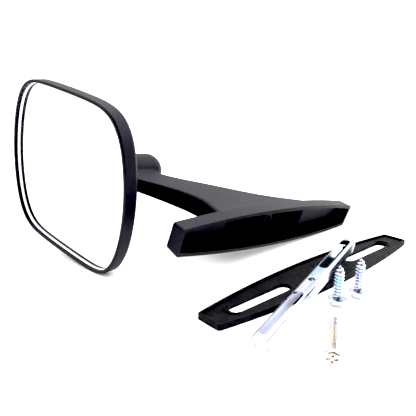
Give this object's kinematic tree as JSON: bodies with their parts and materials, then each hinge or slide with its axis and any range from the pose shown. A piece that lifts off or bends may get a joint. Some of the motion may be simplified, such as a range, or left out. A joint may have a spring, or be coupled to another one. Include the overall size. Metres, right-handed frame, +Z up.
{
  "type": "car side mirror",
  "caption": "Door-mounted car side mirror on a ball-jointed arm with a hollow foot, lying beside its rubber pad, clamp bracket and screws.",
  "frame": {"origin": "on the table, under the middle of the whole set's box", "axes": "+Z up from the table; X along the rubber pad; the glass faces -X and the foot's mounting plane faces -Y"},
  "size_m": [0.2158, 0.252, 0.1186],
  "materials": {
    "black_plastic": "fine-textured satin black",
    "collar_nylon": "smooth dark grey nylon",
    "white_nylon": "natural nylon",
    "stud_steel": "machined and oiled",
    "spring_steel": "oil-tempered wire",
    "bright_zinc": "bright zinc plating with a faint blue tint",
    "yellow_zinc": "zinc plating with a yellow tint",
    "plate_board": "stiff sheet",
    "foam": "closed-cell foam",
    "mirror_coat": "silvered flat glass",
    "black_rubber": "moulded rubber",
    "pale_vinyl": "glossy pale vinyl"
  },
  "bodies": {
    "arm": {"mirror_arm": "black_plastic", "collar_washer": "collar_nylon", "stud_lock_screw": "spring_steel"},
    "stud": {"ball_stud": "stud_steel"},
    "seat": {"ball_seat": "white_nylon"},
    "head": {"pressure_cup": "white_nylon", "cup_spring": "spring_steel", "spring_retainer": "bright_zinc", "retainer_screws": "bright_zinc", "rear_shell": "black_plastic", "front_bezel": "black_plastic", "backing_plate": "plate_board", "foam_pad": "foam", "mirror_glass": "mirror_coat", "glass_gasket": "pale_vinyl"},
    "pad": {"mount_gasket": "black_rubber"},
    "bracket": {"mount_bracket": "bright_zinc"},
    "clamp": {"clamp_screw": "yellow_zinc"},
    "screw_1": {"door_screw_1": "bright_zinc"},
    "screw_2": {"door_screw_2": "bright_zinc"}
  },
  "joints": [
    {"name": "head_roll", "type": "hinge", "parent": "arm", "child": "stud", "pos_m": [-0.08228, 0.06482, 0.05921], "axis": [-0.9904, -0.0536, 0.1278], "range_deg": [-180, 180]},
    {"name": "head_tilt", "type": "hinge", "parent": "stud", "child": "seat", "pos_m": [-0.08228, 0.06482, 0.05921], "axis": [0.031, -0.9844, -0.1731], "range_deg": [-21, 9]},
    {"name": "head_pan", "type": "hinge", "parent": "seat", "child": "head", "pos_m": [-0.08228, 0.06482, 0.05921], "axis": [0.0308, -0.1721, 0.9846], "range_deg": [-20.7, 9.3]},
    {"name": "pad_lift", "type": "slide", "parent": "arm", "child": "pad", "axis": [0, 0, 1], "range_m": [0, 0.06]},
    {"name": "bracket_lift", "type": "slide", "parent": "pad", "child": "bracket", "axis": [0, 0, 1], "range_m": [0, 0.06]},
    {"name": "clamp_screw_lift", "type": "slide", "parent": "arm", "child": "clamp", "axis": [0, 0, 1], "range_m": [0, 0.06]},
    {"name": "door_screw_1_lift", "type": "slide", "parent": "arm", "child": "screw_1", "axis": [0, 0, 1], "range_m": [0, 0.06]},
    {"name": "door_screw_2_lift", "type": "slide", "parent": "arm", "child": "screw_2", "axis": [0, 0, 1], "range_m": [0, 0.06]}
  ]
}
